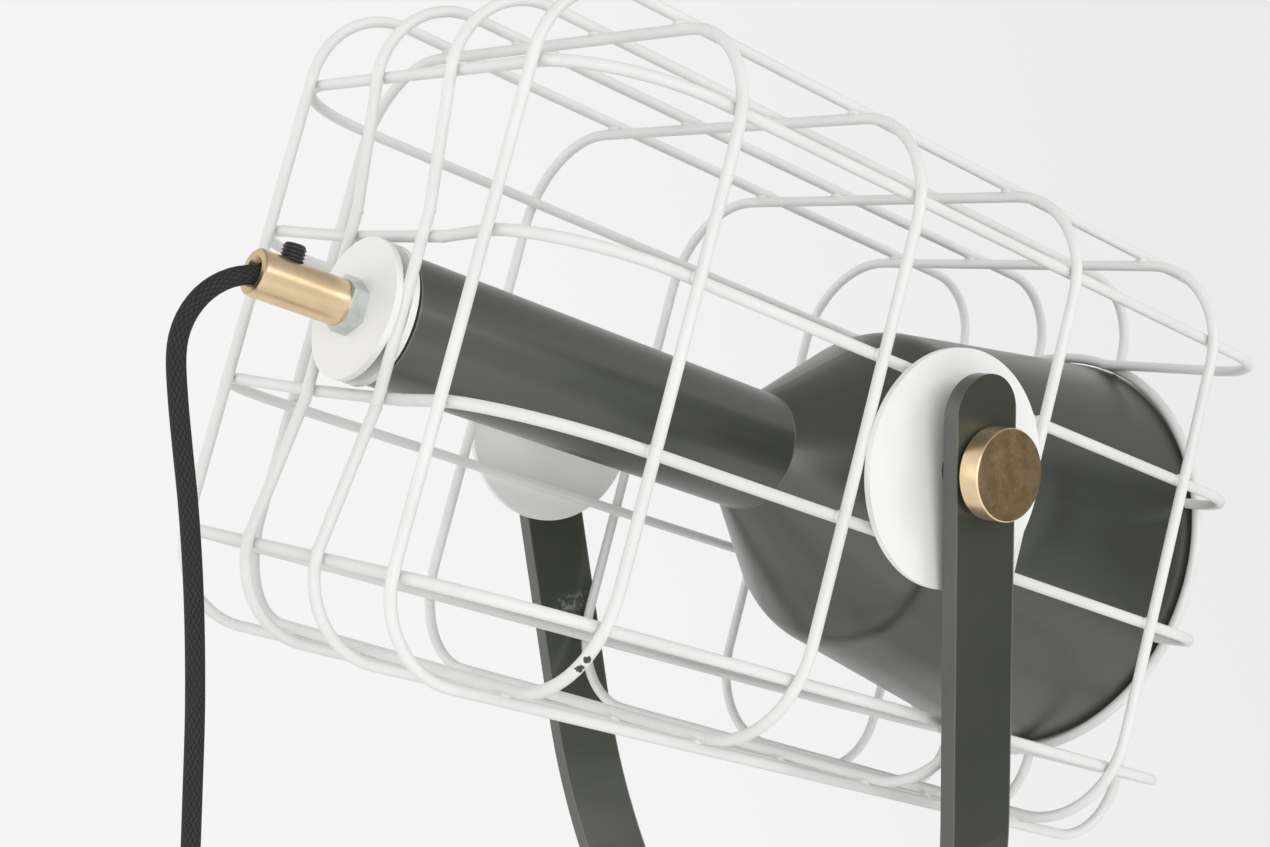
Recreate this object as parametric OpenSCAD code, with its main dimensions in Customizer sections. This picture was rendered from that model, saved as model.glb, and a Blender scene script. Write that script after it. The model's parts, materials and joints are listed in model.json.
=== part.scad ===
// Cage floor lamp.
// A spun shade on a long neck sits inside a cage of bent wire. The cage tilts
// between the arms of a flat-bar yoke, which stands on a post and a round base.
// Millimetres, +Z up. The lamp points along +X and tilts about Y.

/* [Cage] */
// Diameter of the cage wire
wire_d = 4; // [3:0.5:4.5]
// Width of a hoop between its wire centres
hoop_w = 224; // [218:2:236]
// Height of a hoop between its wire centres
hoop_h = 218; // [214:2:230]
// Corner radius of a hoop at the wire centre
hoop_corner_r = 38; // [30:1:42]
// Distance from the rear wires to the first hoop
hoop_first = 51; // [48:1:56]
// Distance from the last hoop to the front ring
hoop_last = 51.3; // [49:0.1:56]
// Height of the hoops' middle above the shade's axis
cage_rise = 1.8; // [0:0.2:3]
// Distance from one upright wire to the next
upright_pitch = 45.8; // [44:0.2:48]
// Distance from the front ring's wire in to the outermost level wires
level_inset = 3.1; // [2.5:0.1:4]
// Rear bend of the upright wires at the wire centre
upright_bend_r = 31; // [24:1:32]
// Rear bend of the level wires at the wire centre
level_bend_r = 42; // [32:1:42]
// Front bend of the upright and level wires at the wire centre
front_bend_r = 27; // [20:1:27]
// Depth by which the middle of the rear face is drawn in
rear_dish = 6.5; // [3:0.5:7]

/* [Shade] */
// Outer diameter of the neck tube
neck_d = 46; // [43:1:48]
// Length of the neck tube
neck_len = 172; // [162:1:174]
// Wall of the neck tube
neck_wall = 1.5; // [1:0.1:2]
// Wall of the spun shade
shade_wall = 1.2; // [0.8:0.1:2]
// Outer diameter at the shoulder, where bell and barrel would meet in a sharp edge
bell_d = 127; // [120:1:134]
// Length of the bell from the neck to the shoulder
bell_len = 52; // [46:1:58]
// Radius that rounds the shoulder
shoulder_round = 22; // [10:1:30]
// Outer diameter of the shade's rim
rim_d = 166; // [156:1:170]
// Length of the barrel from the shoulder to the rim
barrel_len = 113; // [106:1:116]

/* [Rear fittings] */
// Diameter of the two plates that clamp the rear wires
rear_plate_d = 49; // [48:0.5:50]
// Thickness of the two rear plates
rear_plate_t = 2.5; // [1.5:0.5:4]
// Thickness of the rubber ring under the neck
gasket_t = 2; // [1:0.5:4]
// Outer diameter of the threaded carrier tube
carrier_d = 10; // [9.5:0.5:11]
// Bore of the carrier tube
carrier_bore = 7.4; // [7:0.1:8]
// Diameter of the cord grip
grip_d = 16; // [14:0.5:20]
// Length of the cord grip
grip_len = 32.5; // [28:0.5:40]
// Width of the hexagon nuts on the carrier tube, across flats
carrier_nut_af = 17; // [16:0.5:19]
// Thickness of the nuts on the carrier tube
carrier_nut_t = 6; // [4:0.5:8]

/* [Lampholder and bulb] */
// Outer diameter of the lampholder
holder_d = 38; // [36:1:39]
// Length of the lampholder
holder_len = 56; // [52:1:60]
// Diameter of the screw cap of the bulb
cap_d = 26.4; // [25:0.2:27]
// Largest diameter of the glass
bulb_d = 60; // [50:1:70]
// Length of the glass past the cap
bulb_len = 80; // [70:1:95]

/* [Pivot] */
// Thickness of the two pivot plates
pivot_plate_t = 2.5; // [2:0.5:4]
// Length of the spacers between pivot plates and yoke
spacer_len = 6; // [5.5:0.5:12]
// Outer diameter of the spacers
spacer_d = 15; // [14:1:24]
// Diameter of the knob studs
stud_d = 8; // [6:0.5:10]
// Diameter of the clamp knobs
knob_d = 31; // [26:1:36]
// Thickness of the clamp knobs
knob_t = 9.5; // [8:0.5:16]
// Angle of the head below level
head_tilt = 18.4; // [10:0.2:25]

/* [Yoke] */
// Width of the flat bar
bar_w = 28; // [22:1:30]
// Thickness of the flat bar
bar_t = 6; // [4:0.5:7]
// Height of the bar's ends above the pivot
ear_top = 33; // [28:1:40]
// Depth of the yoke below the pivot, to the bar's centre
yoke_drop = 256; // [250:2:280]
// Lean of the arms towards each other
arm_slant = 5.5; // [4:0.5:6]
// Width of the flat under the yoke
yoke_flat = 46; // [40:1:60]
// Lean of the whole yoke, foot forward
yoke_lean = 6; // [0:0.5:8]

/* [Stand] */
// Height of the pivot above the floor
pivot_h = 1200; // [1100:5:1300]
// Diameter of the post
post_d = 25; // [22:1:32]
// Wall of the post
post_wall = 2; // [1.5:0.5:3]
// Diameter of the slanted seat on the post
seat_d = 32; // [30:1:44]
// Height of the seat above the post
seat_h = 22; // [16:1:40]
// Diameter of the base plate
base_d = 300; // [260:5:305]
// Thickness of the base plate
base_t = 10; // [10:1:16]
// Thickness of the felt under the base
pad_t = 2.5; // [1.5:0.5:4]

/* [Cord and switch] */
// Diameter of the fabric cord
cord_d = 6.4; // [5.5:0.1:6.6]
// Turns of the coil
coil_turns = 6.5; // [4.5:1:6.5]
// Length of the foot switch without its spouts
switch_len = 52; // [50:1:52]
// Width of the foot switch
switch_w = 38; // [34:1:42]
// Height of the foot switch
switch_h = 21; // [20:1:26]
// Diameter of the push button
button_d = 22; // [18:1:24]
// Travel of the push button
button_travel = 2.5; // [2:0.5:3]

/* [Hidden] */
$fn = 48;

// Clearances
ring_clear = 0.3;      // rim to front ring, pivot plate to hoops
run_clear = 0.05;      // radial, round a turning stud
face_clear = 0.2;      // between faces that turn on each other
fit_clear = 0.05;      // radial, round a fixed bolt, plug or tube

// Cage
half_h = hoop_h / 2;
half_w = hoop_w / 2;
upright_half = half_h + wire_d;
set_swell = 0.3;       // how much a set in a wire is thicker than the wire
dish_margin = 6;       // flat of the dish past the wire that it crosses

// Rear fittings along the head's axis
outer_plate_x = rear_dish - wire_d / 2 - rear_plate_t;
inner_plate_x = rear_dish + wire_d / 2;
gasket_x = inner_plate_x + rear_plate_t;
neck_x = gasket_x + gasket_t;
rear_nut_x = outer_plate_x - carrier_nut_t;
grip_x = rear_nut_x - grip_len;
neck_cap_t = 2;
carrier_depth = 14;    // how far the carrier tube is screwed into the grip
screw_from_end = 12;
screw_d = 8;
screw_out = 5;         // how far the screw stands out of the grip
thread_pitch = 1.25;
thread_depth = 0.6;
grip_clear = 0.8;      // radial, round the cord in the grip
grip_bore = cord_d + 2 * grip_clear;
lead_in = 7.5;         // where the cord starts to bend, inside the grip's mouth
lead_gap = 0.2;        // between the cord in the head and the cord that bends

// Shade along the head's axis
neck_r = neck_d / 2;
bell_x = neck_x + neck_len;
barrel_x = bell_x + bell_len;
rim_x = barrel_x + barrel_len;
ring_x = rim_x - wire_d / 2 + ring_clear;
ring_r = rim_d / 2 + ring_clear + wire_d / 2;
spigot_len = 12;
hoop_pitch = (ring_x - hoop_first - hoop_last) / 3;
level_pitch = (ring_r - level_inset) / 1.5;
pivot_x = hoop_first + 1.5 * hoop_pitch;

// Lampholder and bulb along the head's axis
holder_floor = 4;
holder_wall = 2;
holder_core = 8;
holder_x = bell_x + 6 - holder_len;
holder_core_x = holder_x + holder_floor + carrier_nut_t + 4;
shell_x = holder_core_x + holder_core;
shell_wall = 0.6;
cap_len = 26;
glass_t = 1;
cap_x = shell_x + 1;
shell_len = cap_len;
carrier_end = holder_x + holder_floor + carrier_nut_t;

// Pivot, outwards along Y; spacer and knob hub leave room for the slant of the arms
plate_y = half_w + wire_d / 2;
pivot_plate_d = hoop_pitch - 2 * ring_clear;
spacer_y = plate_y + pivot_plate_t;
bar_y = spacer_y + spacer_len + face_clear + spacer_d / 2 * tan(arm_slant);
hub_d = stud_d + 6;
hub_len = knob_d / 2 * tan(arm_slant) - hub_d / 2 * tan(arm_slant) + face_clear;
knob_y = bar_y + bar_t / cos(arm_slant) + face_clear + hub_d / 2 * tan(arm_slant);
pivot_nut_t = 6.5;
pivot_nut_af = stud_d + 5;

// Yoke, in the plane of its bar: [across, up]
ear_y = bar_y + bar_t / 2 / cos(arm_slant);
bend_step = 2.5;       // degrees from one facet of a bend to the next
foot_bend_r = 50;
foot_angle = 45;
foot_corner = [yoke_flat / 2 + foot_bend_r * tan((90 - foot_angle) / 2), -yoke_drop];
// the slanted arm and the run below it meet at the shoulder corner
shoulder_z = (foot_corner[0] + yoke_drop * tan(foot_angle) - ear_y)
    / (tan(arm_slant) - tan(foot_angle));
shoulder_corner = [ear_y + shoulder_z * tan(arm_slant), shoulder_z];
shoulder_r = (norm(shoulder_corner - foot_corner) - foot_bend_r * tan((90 - foot_angle) / 2) - 0.5)
    / tan((foot_angle - arm_slant) / 2);
bolt_d = 8;
bolt_head_af = 13;
bolt_head_t = 5.3;
bolt_len = 24;
washer_t = 1.6;

// Stand
seat_reach = yoke_drop + bar_t / 2;
pivot_back = seat_reach * sin(yoke_lean);
seat_z = pivot_h - seat_reach * cos(yoke_lean);
post_low = pad_t + base_t;
post_top = seat_z - seat_h;
post_bore = post_d - 2 * post_wall;
plug_len = 30;
collar_h = 16;
collar_wall = 8;
base_edge_r = 3;
base_bolt_d = 10;
base_bolt_head_d = 18;
base_bolt_head_t = 6;

// Foot switch: it lies along Y behind the base
switch_x = -262;
switch_y = 66;
spout_len = 20;
spout_d = cord_d + 3.6;
spout_tip_d = cord_d + 2;
switch_cord_z = spout_d / 2;
switch_wall = 2;
switch_split = 10;     // height of the joint between base and cover
button_lip = 2;
button_top = 3;        // how far the button stands out of the cover
button_under = switch_h - switch_wall - face_clear - button_lip;

// Plug
plug_w = 35;
plug_t = 14;
plug_nose = 20;
plug_len_body = 24;
pin_d = 4;
pin_len = 19;
pin_pitch = 18.6;

// Cord: places where it is held, and route points in between
function head_to_world(p) = [
    -pivot_back + (p[0] - pivot_x) * cos(head_tilt) + p[2] * sin(head_tilt),
    p[1],
    pivot_h - (p[0] - pivot_x) * sin(head_tilt) + p[2] * cos(head_tilt)];
lead_end = head_to_world([grip_x + lead_in, 0, 0]);
grip_out = [-cos(head_tilt), 0, sin(head_tilt)];
// The cord bends out of the grip on an arc, from the head's axis to straight down
exit_r = 26;
function exit_bend(turn) = lead_end + exit_r * [
    sin(head_tilt - turn) - sin(head_tilt), 0, cos(head_tilt - turn) - cos(head_tilt)];
switch_in = [switch_x, switch_y - switch_len / 2 - spout_len, switch_cord_z];
switch_out = [switch_x, switch_y + switch_len / 2 + spout_len, switch_cord_z];

drop_route = concat(
    [for (turn = [0 : 18 : 108]) exit_bend(turn)],
    [[-253.5, 0, 1227], [-252.3, 0, 1212], [-250.7, 0, 1194], [-249.6, 0, 1174], [-249.2, 0, 1152],
     [-249.6, 0, 1127], [-251, 0, 1100], [-252.6, 0, 1070], [-254, 0, 1030], [-255.5, 0, 980],
     [-257, 0, 900], [-258, 0, 810], [-259, 0, 710], [-260, 0, 600], [-260, -2, 490],
     [-261, -6, 380], [-261, -12, 280], [-262, -17, 190], [-262, -20, 120], [-262, -21.5, 75],
     [-262, -20.5, 45], [-262, -15.5, 24], [-262, -5, 10.5]],
    [switch_in - [0, 10, 0], switch_in - [0, 5, 0], switch_in]);

// Coil: in on the lower layer, up in the half turn at the middle, out on the upper
coil_gap = 0.8;
coil_pitch = cord_d + coil_gap;
coil_out_r = 50;
coil_low_z = cord_d / 2 + 1.8;
coil_centre = [switch_x + coil_out_r, 136];
coil_rings = 24;
coil_steps = round(coil_turns * coil_rings);
function coil_lift(t) = t < coil_turns / 2 - 0.25 ? 0
    : t > coil_turns / 2 + 0.25 ? 1
    : (1 - cos(360 * (t - coil_turns / 2 + 0.25))) / 2;
function coil_radius(t) = coil_out_r - coil_pitch * min(t, coil_turns - t);
function coil_point(t) = [
    coil_centre[0] + coil_radius(t) * cos(180 - 360 * t),
    coil_centre[1] + coil_radius(t) * sin(180 - 360 * t),
    coil_low_z + coil_pitch * coil_lift(t)];
coil_in = coil_point(0) - [0, cord_d, 0];
coil_end = coil_point(coil_turns) - [0, cord_d, 0];
coil_path = concat([coil_in], [for (i = [0 : coil_steps]) coil_point(i / coil_rings)], [coil_end]);

tail_route = [switch_out, (2 * switch_out + coil_in) / 3, (switch_out + 2 * coil_in) / 3, coil_in];

lead_run = 34;
plug_face = [coil_end[0], coil_end[1] - lead_run, plug_t / 2];
lead_route = [
    coil_end,
    coil_end - [0, 8, 0],
    (coil_end + plug_face) / 2 - [0, 3, 0],
    plug_face + [0, 6, 0],
    plug_face];

// Least gap of the coil to itself, between points at least half a turn apart
coil_gaps = [for (i = [0 : coil_steps]) for (j = [i + coil_rings / 2 : 1 : coil_steps])
    norm(coil_point(i / coil_rings) - coil_point(j / coil_rings)) - cord_d];
echo(coil_least_gap = min(coil_gaps));

tie_w = 10;
tie_t = 1.2;
tie_clear = 0.4;

// Places

// Head frame: X along the shade's axis from the rear wires, tilted about the pivot
module on_head() {
    translate([-pivot_back, 0, pivot_h])
        rotate([0, head_tilt, 0])
            translate([-pivot_x, 0, 0])
                children();
}

// Yoke frame: the pivot is at its origin, Z runs up along the arms
module on_yoke() {
    translate([-pivot_back, 0, pivot_h])
        rotate([0, -yoke_lean, 0])
            children();
}

// A turned piece: its profile is drawn as [radius, distance along the head's axis]
module turned() {
    rotate([0, 90, 0])
        rotate([0, 0, 180])
            rotate_extrude()
                children();
}

// Same piece on the near or far side, standing out along Y
module on_side(side) {
    translate([pivot_x, 0, 0])
        rotate([side * -90, 0, 0])
            children();
}

// Bent wire: round bar along straight runs, with a bend or a set at each corner

function unit(v) = v / norm(v);
function heading(a, b) = atan2(b[1] - a[1], b[0] - a[0]);
function wrap(angle) = angle > 180 ? angle - 360 : angle <= -180 ? angle + 360 : angle;
function turn_at(pts, i) = wrap(heading(pts[i], pts[i + 1]) - heading(pts[i - 1], pts[i]));
function setback(pts, radii, i) = i == 0 || i == len(pts) - 1 ? 0
    : radii[i] * tan(abs(turn_at(pts, i)) / 2);
function left_of(angle) = [-sin(angle), cos(angle)];
// Centre of the bend at corner i
function bend_centre(pts, radii, i) = pts[i] - unit(pts[i] - pts[i - 1]) * setback(pts, radii, i)
    + radii[i] * sign(turn_at(pts, i)) * left_of(heading(pts[i - 1], pts[i]));
// Nearest tenth of a millimetre
function tenth(v) = round(v * 10) / 10;

module bent_wire(pts, radii) {
    for (i = [0 : len(pts) - 2]) {
        run = pts[i + 1] - pts[i];
        start = pts[i] + unit(run) * setback(pts, radii, i);
        length = norm(run) - setback(pts, radii, i) - setback(pts, radii, i + 1);
        if (length > 0.01)
            translate([start[0], start[1], 0])
                rotate([90, 0, heading(pts[i], pts[i + 1]) + 90])
                    cylinder(d = wire_d, h = length);
    }
    for (i = [1 : len(pts) - 2]) {
        turn = turn_at(pts, i);
        from = heading(pts[i - 1], pts[i]);
        if (radii[i] > 0)
            translate(bend_centre(pts, radii, i))
                rotate([0, 0, turn > 0 ? from - 90 : from + 90 + turn])
                    rotate_extrude(angle = abs(turn))
                        translate([radii[i], 0])
                            circle(d = wire_d);
        else
            translate(pts[i])
                sphere(d = wire_d + set_swell);
    }
}

// One edge of a flat bar that is bent along the same kind of path, off to the left of it
function bar_edge(pts, radii, off) = let (last = len(pts) - 1) concat(
    [pts[0] + off * left_of(heading(pts[0], pts[1]))],
    [for (i = [1 : last - 1]) let (
            turn = turn_at(pts, i),
            from = heading(pts[i - 1], pts[i]) - 90 * sign(turn),
            reach = radii[i] - sign(turn) * off,
            steps = ceil(abs(turn) / bend_step))
        for (k = [0 : steps]) let (angle = from + turn * k / steps)
            bend_centre(pts, radii, i) + reach * [cos(angle), sin(angle)]],
    [pts[last] + off * left_of(heading(pts[last - 1], pts[last]))]);

function mirrored(half) = [for (i = [len(half) - 1 : -1 : 0]) [half[i][0], -half[i][1]]];
function reversed(list) = [for (i = [len(list) - 1 : -1 : 0]) list[i]];

// Cage

// End of a leg on the front ring, for a wire that stands off the axis
function leg_end(off) = tenth(sqrt(ring_r * ring_r - off * off) - wire_d / 2);
// Half width of a level wire that lies inside the hoops at height z
function level_half(z) = tenth(half_w - hoop_corner_r - 0.05
    + sqrt(pow(hoop_corner_r - wire_d, 2) - pow(max(0, abs(z) - half_h + hoop_corner_r), 2)));

// Upright and level wires run from the ring, back along the cage and round its rear
module long_wire(half, rear, front, legs, bend_r, dish_in, dished) {
    dish = dished ? [[rear, half - bend_r], [rear + rear_dish, dish_in]] : [];
    side = concat([[front, half], [rear, half]], dish);
    radii = concat([front_bend_r, bend_r], dished ? [0, 0] : []);
    bent_wire(concat([[front, legs[0]]], side, mirrored(side), [[front, -legs[1]]]),
        concat([0], radii, reversed(radii), [0]));
}

module upright_wire(place) {
    y = place * upright_pitch;
    leg = leg_end(y);
    color("white") on_head()
        translate([0, y, cage_rise])
            rotate([90, 0, 0])
                long_wire(upright_half, 0, ring_x + wire_d, [leg - cage_rise, leg + cage_rise],
                    upright_bend_r, level_pitch / 2 + dish_margin, abs(place) < 1);
}

module level_wire(place) {
    z = place * level_pitch;
    leg = leg_end(z);
    color("white") on_head()
        translate([0, 0, z])
            long_wire(level_half(z - cage_rise), wire_d, ring_x - wire_d, [leg, leg], level_bend_r,
                upright_pitch / 2 + dish_margin, abs(place) < 1);
}

module hoop(index) {
    corner = [half_w, half_h];
    points = [[0, half_h], corner, [half_w, -half_h], -corner, [-half_w, half_h], [0, half_h]];
    color("white") on_head()
        translate([hoop_first + index * hoop_pitch, 0, cage_rise])
            rotate([90, 0, 90])
                bent_wire(points, [for (p = points) hoop_corner_r]);
}

module cage_front_ring() {
    color("white") on_head()
        translate([ring_x, 0, 0])
            turned()
                translate([ring_r, 0])
                    circle(d = wire_d);
}

// Pivot

module pivot_plate(side) {
    color("white") on_head()
        on_side(side)
            translate([0, 0, plate_y])
                difference() {
                    cylinder(d = pivot_plate_d, h = pivot_plate_t);
                    translate([0, 0, -1])
                        cylinder(d = stud_d + 2 * run_clear, h = pivot_plate_t + 2);
                }
}

module pivot_nuts() {
    color("silver") on_head()
        for (side = [-1, 1])
            on_side(side)
                translate([0, 0, plate_y - pivot_nut_t])
                    hex_nut(pivot_nut_af, pivot_nut_t, stud_d + 2 * run_clear);
}

module hex_nut(across, height, bore) {
    difference() {
        cylinder(d = across / cos(30), h = height, $fn = 6);
        translate([0, 0, -1])
            cylinder(d = bore, h = height + 2);
    }
}

module pivot_spacers() {
    color("dimgray") on_head()
        for (side = [-1, 1])
            on_side(side)
                translate([0, 0, spacer_y])
                    difference() {
                        cylinder(d = spacer_d, h = spacer_len);
                        translate([0, 0, -1])
                            cylinder(d = stud_d + 2 * run_clear, h = spacer_len + 2);
                    }
}

// The hub keeps the face of the knob off the slanted arm
module knob(side) {
    edge = 0.8;
    rim = knob_d / 2;
    color("goldenrod") on_head()
        on_side(side)
            translate([0, 0, knob_y])
                rotate_extrude()
                    polygon([[stud_d / 2, 0], [hub_d / 2, 0], [hub_d / 2, hub_len],
                        [rim - edge, hub_len], [rim, hub_len + edge], [rim, knob_t - edge / 2],
                        [rim - edge / 2, knob_t], [0, knob_t], [0, knob_t / 2],
                        [stud_d / 2, knob_t / 2]]);
}

module knob_stud(side) {
    color("silver") on_head()
        on_side(side)
            translate([0, 0, plate_y - pivot_nut_t])
                cylinder(d = stud_d, h = knob_y + knob_t / 2 - plate_y + pivot_nut_t);
}

// Rear fittings

module rear_plate(x) {
    color("white") on_head()
        translate([x, 0, 0])
            turned()
                translate([carrier_d / 2 + fit_clear, 0])
                    square([(rear_plate_d - carrier_d) / 2 - fit_clear, rear_plate_t]);
}

module gasket_ring() {
    color("black") on_head()
        translate([gasket_x, 0, 0])
            turned()
                translate([carrier_d / 2 + fit_clear, 0])
                    square([neck_r - 1 - carrier_d / 2 - fit_clear, gasket_t]);
}

module carrier_tube() {
    color("silver") on_head()
        translate([rear_nut_x - carrier_depth, 0, 0])
            turned()
                translate([carrier_bore / 2, 0])
                    square([(carrier_d - carrier_bore) / 2, carrier_end - rear_nut_x + carrier_depth]);
}

module carrier_nut(x) {
    color("silver") on_head()
        translate([x, 0, 0])
            rotate([0, 90, 0])
                hex_nut(carrier_nut_af, carrier_nut_t, carrier_d + 2 * fit_clear);
}

module cord_grip() {
    edge = 0.5;
    flare = 1.2;
    bore = grip_bore / 2;
    seat = carrier_d / 2 + fit_clear;
    color("goldenrod") on_head()
        difference() {
            translate([grip_x, 0, 0])
                turned()
                    polygon([[bore + flare, 0], [grip_d / 2 - edge, 0], [grip_d / 2, edge],
                        [grip_d / 2, grip_len], [seat, grip_len], [seat, grip_len - carrier_depth],
                        [bore, grip_len - carrier_depth], [bore, 2 * flare]]);
            translate([grip_x + screw_from_end, 0, 0])
                cylinder(d = screw_d + 2 * fit_clear, h = grip_d);
        }
}

// Nylon set screw without a head; its thread is drawn as rings
module grip_screw() {
    socket_af = 3;
    socket_depth = 2.4;
    low = cord_d / 2 + fit_clear;
    top = grip_d / 2 + screw_out;
    crest = screw_d / 2;
    root = crest - thread_depth;
    rings = floor((top - low - 1) / thread_pitch);
    thread = [for (i = [0 : rings - 1]) let (z = top - 0.8 - (rings - i) * thread_pitch) each [
        [root, z], [crest, z + thread_pitch * 0.45], [crest, z + thread_pitch * 0.6]]];
    color("black") on_head()
        translate([grip_x + screw_from_end, 0, 0])
            difference() {
                rotate_extrude()
                    polygon(concat([[0, low], [root, low]], thread,
                        [[root, top - 0.8], [root + 0.2, top - 0.6], [root - 0.3, top], [0, top]]));
                translate([0, 0, top - socket_depth])
                    cylinder(d = socket_af / cos(30), h = socket_depth + 1, $fn = 6);
            }
}

module inner_lead() {
    color("black") on_head()
        translate([grip_x + lead_in + lead_gap, 0, 0])
            rotate([0, 90, 0])
                cylinder(d = cord_d, h = holder_core_x - grip_x - lead_in - lead_gap);
}

// Shade

module neck_tube() {
    color("darkslategray") on_head()
        translate([neck_x, 0, 0])
            turned()
                polygon([[carrier_d / 2 + fit_clear, 0], [neck_r, 0], [neck_r, neck_len],
                    [neck_r - neck_wall, neck_len], [neck_r - neck_wall, neck_cap_t],
                    [carrier_d / 2 + fit_clear, neck_cap_t]]);
}

// The wall runs from the neck up the bell, round the shoulder and along the barrel to the rim
module shade_profile() {
    wall = [[neck_r, 0], [bell_d / 2, bell_len], [rim_d / 2, bell_len + barrel_len]];
    bends = [0, shoulder_round, 0];
    spigot_r = neck_r - neck_wall - fit_clear;
    polygon(concat(
        [[spigot_r - shade_wall, -spigot_len], [spigot_r, -spigot_len], [spigot_r, 0]],
        bar_edge(wall, bends, 0),
        reversed(bar_edge(wall, bends, shade_wall)),
        [[spigot_r - shade_wall, shade_wall]]));
}

module shade() {
    color("darkslategray") on_head()
        translate([bell_x, 0, 0])
            turned()
                shade_profile();
}

// Lampholder and bulb

module lampholder_body() {
    bore = carrier_d / 2 + fit_clear;
    inner = holder_d / 2 - holder_wall;
    core_x = holder_core_x - holder_x;
    color("ivory") on_head()
        translate([holder_x, 0, 0])
            turned()
                difference() {
                    square([holder_d / 2, holder_len]);
                    translate([-1, -1])
                        square([bore + 1, holder_floor + 2]);
                    translate([-1, holder_floor])
                        square([inner + 1, core_x - holder_floor]);
                    translate([-1, core_x + holder_core])
                        square([inner + 1, holder_len]);
                }
}

module lampholder_shell() {
    color("goldenrod") on_head()
        translate([shell_x, 0, 0])
            turned()
                translate([cap_d / 2 + 0.2, 0])
                    square([shell_wall, shell_len]);
}

module bulb_cap() {
    tip_r = 5;
    color("silver") on_head()
        translate([cap_x, 0, 0])
            turned()
                polygon([[0, -0.8], [tip_r, -0.8], [tip_r, 0.8], [cap_d / 2 - 3, 3], [cap_d / 2, 6],
                    [cap_d / 2, cap_len], [0, cap_len]]);
}

// Pear-shaped glass: a sphere at the front, drawn in to the cap by a cone
module bulb_outline(inset) {
    ball_r = bulb_d / 2;
    ball_at = bulb_len - ball_r;
    throat = cap_d / 2 - 0.5;
    lean = asin((ball_r - throat) / norm([ball_at, ball_r - throat]) * 0.8);
    translate([0, ball_at])
        circle(r = ball_r - inset, $fn = 96);
    polygon([[0, -inset], [throat - inset, -inset], [throat - inset, 0],
        [ball_r * cos(lean) - inset, ball_at - ball_r * sin(lean)], [0, ball_at]]);
}

module bulb_glass() {
    color("lightyellow") on_head()
        translate([cap_x + cap_len, 0, 0])
            turned()
                intersection() {
                    difference() {
                        bulb_outline(0);
                        bulb_outline(glass_t);
                    }
                    square([bulb_d, 2 * bulb_len]);
                }
}

// Yoke

// Front view of the bar: straight sides and a round top
module bar_outline() {
    top = ear_top - bar_w / 2;
    translate([0, top])
        circle(d = bar_w);
    translate([-bar_w / 2, -yoke_drop - bar_t])
        square([bar_w, yoke_drop + bar_t + top]);
}

module yoke() {
    end = ear_top + 1;
    half = [[ear_y + end * tan(arm_slant), end], shoulder_corner, foot_corner];
    other = [for (i = [len(half) - 1 : -1 : 0]) [-half[i][0], half[i][1]]];
    path = concat(half, other);
    radii = [0, shoulder_r, foot_bend_r];
    bends = concat(radii, reversed(radii));
    color("darkslategray") on_yoke()
        difference() {
            intersection() {
                rotate([90, 0, 90])
                    linear_extrude(bar_w + 2, center = true)
                        polygon(concat(bar_edge(path, bends, bar_t / 2),
                            reversed(bar_edge(path, bends, -bar_t / 2))));
                rotate([90, 0, 0])
                    linear_extrude(4 * ear_y, center = true)
                        bar_outline();
            }
            rotate([90, 0, 0])
                cylinder(d = stud_d + 2 * run_clear, h = 4 * ear_y, center = true);
            translate([0, 0, -yoke_drop])
                cylinder(d = bolt_d + 2 * fit_clear, h = 4 * bar_t, center = true);
        }
}

module yoke_washer() {
    color("silver") on_yoke()
        translate([0, 0, bar_t / 2 - yoke_drop])
            difference() {
                cylinder(d = 2 * bolt_d, h = washer_t);
                translate([0, 0, -1])
                    cylinder(d = bolt_d + 2 * fit_clear, h = washer_t + 2);
            }
}

module yoke_bolt() {
    color("silver") on_yoke()
        translate([0, 0, bar_t / 2 + washer_t - yoke_drop]) {
            cylinder(d = bolt_head_af / cos(30), h = bolt_head_t, $fn = 6);
            translate([0, 0, -bolt_len])
                cylinder(d = bolt_d, h = bolt_len);
        }
}

// Stand

// Turned seat in the top of the post, cut on the slant under the yoke
module post_seat() {
    color("darkslategray")
        difference() {
            union() {
                translate([0, 0, post_top])
                    cylinder(d = seat_d, h = 2 * seat_h);
                translate([0, 0, post_top - plug_len])
                    cylinder(d = post_bore - 2 * fit_clear, h = plug_len + 1);
            }
            on_yoke() {
                translate([-seat_d, -seat_d, -seat_reach])
                    cube([2 * seat_d, 2 * seat_d, 4 * seat_h]);
                translate([0, 0, bar_t / 2 + washer_t - yoke_drop - bolt_len - 2])
                    cylinder(d = bolt_d + 2 * fit_clear, h = bolt_len);
            }
        }
}

module post() {
    color("darkslategray")
        translate([0, 0, post_low])
            difference() {
                cylinder(d = post_d, h = post_top - post_low);
                translate([0, 0, -1])
                    cylinder(d = post_bore, h = post_top - post_low + 2);
            }
}

module post_foot() {
    color("silver")
        translate([0, 0, post_low])
            difference() {
                cylinder(d = post_bore - 2 * fit_clear, h = plug_len);
                translate([0, 0, -1])
                    cylinder(d = base_bolt_d + 2 * fit_clear, h = plug_len - 4);
            }
}

module post_collar() {
    bevel = 2;
    inner = post_d / 2 + fit_clear;
    outer = post_d / 2 + collar_wall;
    color("darkslategray")
        translate([0, 0, post_low])
            rotate_extrude()
                polygon([[inner, 0], [outer, 0], [outer, collar_h - bevel],
                    [outer - bevel, collar_h], [inner, collar_h]]);
}

module base_plate() {
    color("darkslategray")
        translate([0, 0, pad_t])
            difference() {
                rotate_extrude() {
                    square([base_d / 2 - base_edge_r, base_t]);
                    square([base_d / 2, base_t - base_edge_r]);
                    translate([base_d / 2 - base_edge_r, base_t - base_edge_r])
                        circle(r = base_edge_r);
                }
                translate([0, 0, -1])
                    cylinder(d = base_bolt_d + 2 * fit_clear, h = base_t + 2);
                translate([0, 0, -1])
                    cylinder(d = base_bolt_head_d + 1, h = base_bolt_head_t + 1.2);
            }
}

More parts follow.
